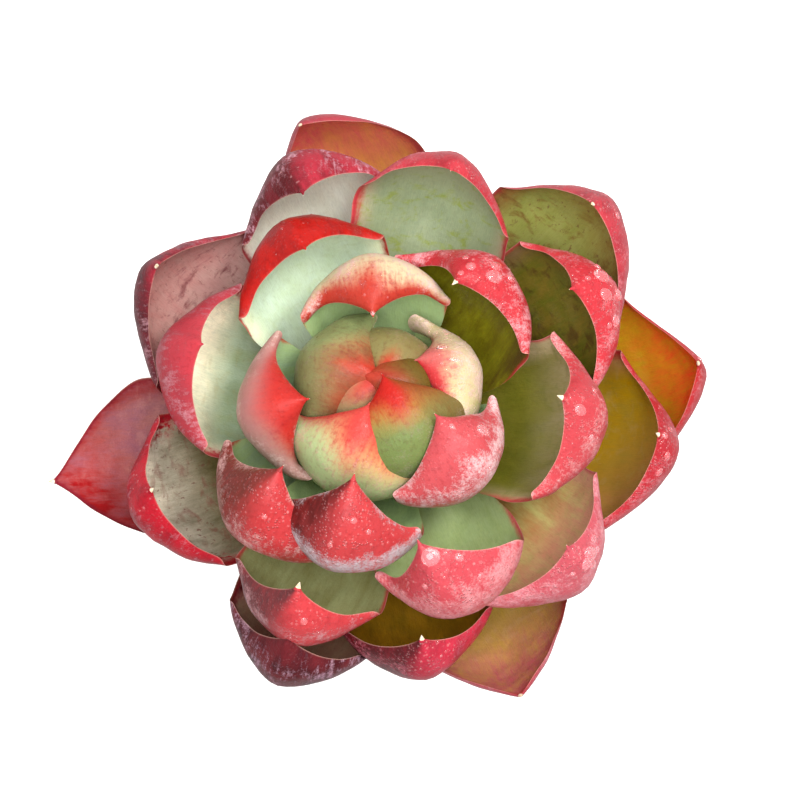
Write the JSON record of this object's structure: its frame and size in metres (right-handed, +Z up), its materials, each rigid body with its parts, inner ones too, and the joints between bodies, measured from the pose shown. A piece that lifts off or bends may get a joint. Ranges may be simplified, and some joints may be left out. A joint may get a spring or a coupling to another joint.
{
  "type": "potted echeveria",
  "caption": "Rosette succulent with thick cupped sage-green leaves, red-backed and pointed, on a short stem in soil in a plain tapered clay pot.",
  "frame": {"origin": "centre of the flat underside of the pot", "axes": "+Z up through the pot and the rosette's centre; the picture looks along +Y from above, with +X to its right"},
  "size_m": [0.0992, 0.0894, 0.0954],
  "materials": {
    "clay": "matte unglazed",
    "potting_mix": "rough, gritty",
    "stem_bark": "dry, scarred",
    "bud_leaf": "satin, yellow-green with coral tip",
    "coral_leaf": "satin, red back and sage inner face",
    "wine_leaf": "satin with pale waxy bloom"
  },
  "bodies": {
    "root": {"pot": "clay", "soil": "potting_mix", "stem": "stem_bark", "leaf_01": "bud_leaf", "leaf_02": "bud_leaf", "leaf_03": "bud_leaf", "leaf_04": "bud_leaf", "leaf_05": "bud_leaf", "leaf_06": "coral_leaf", "leaf_07": "coral_leaf", "leaf_08": "coral_leaf", "leaf_09": "coral_leaf", "leaf_10": "coral_leaf", "leaf_11": "coral_leaf", "leaf_12": "coral_leaf", "leaf_13": "coral_leaf", "leaf_14": "coral_leaf", "leaf_15": "coral_leaf", "leaf_16": "coral_leaf", "leaf_17": "coral_leaf", "leaf_18": "coral_leaf", "leaf_19": "coral_leaf", "leaf_20": "coral_leaf", "leaf_21": "coral_leaf", "leaf_22": "coral_leaf", "leaf_23": "coral_leaf", "leaf_24": "coral_leaf", "leaf_25": "coral_leaf", "leaf_26": "coral_leaf", "leaf_27": "wine_leaf", "leaf_28": "wine_leaf", "leaf_29": "wine_leaf", "leaf_30": "wine_leaf", "leaf_31": "wine_leaf", "leaf_32": "wine_leaf", "leaf_33": "wine_leaf", "leaf_34": "wine_leaf", "leaf_35": "wine_leaf"}
  },
  "joints": []
}
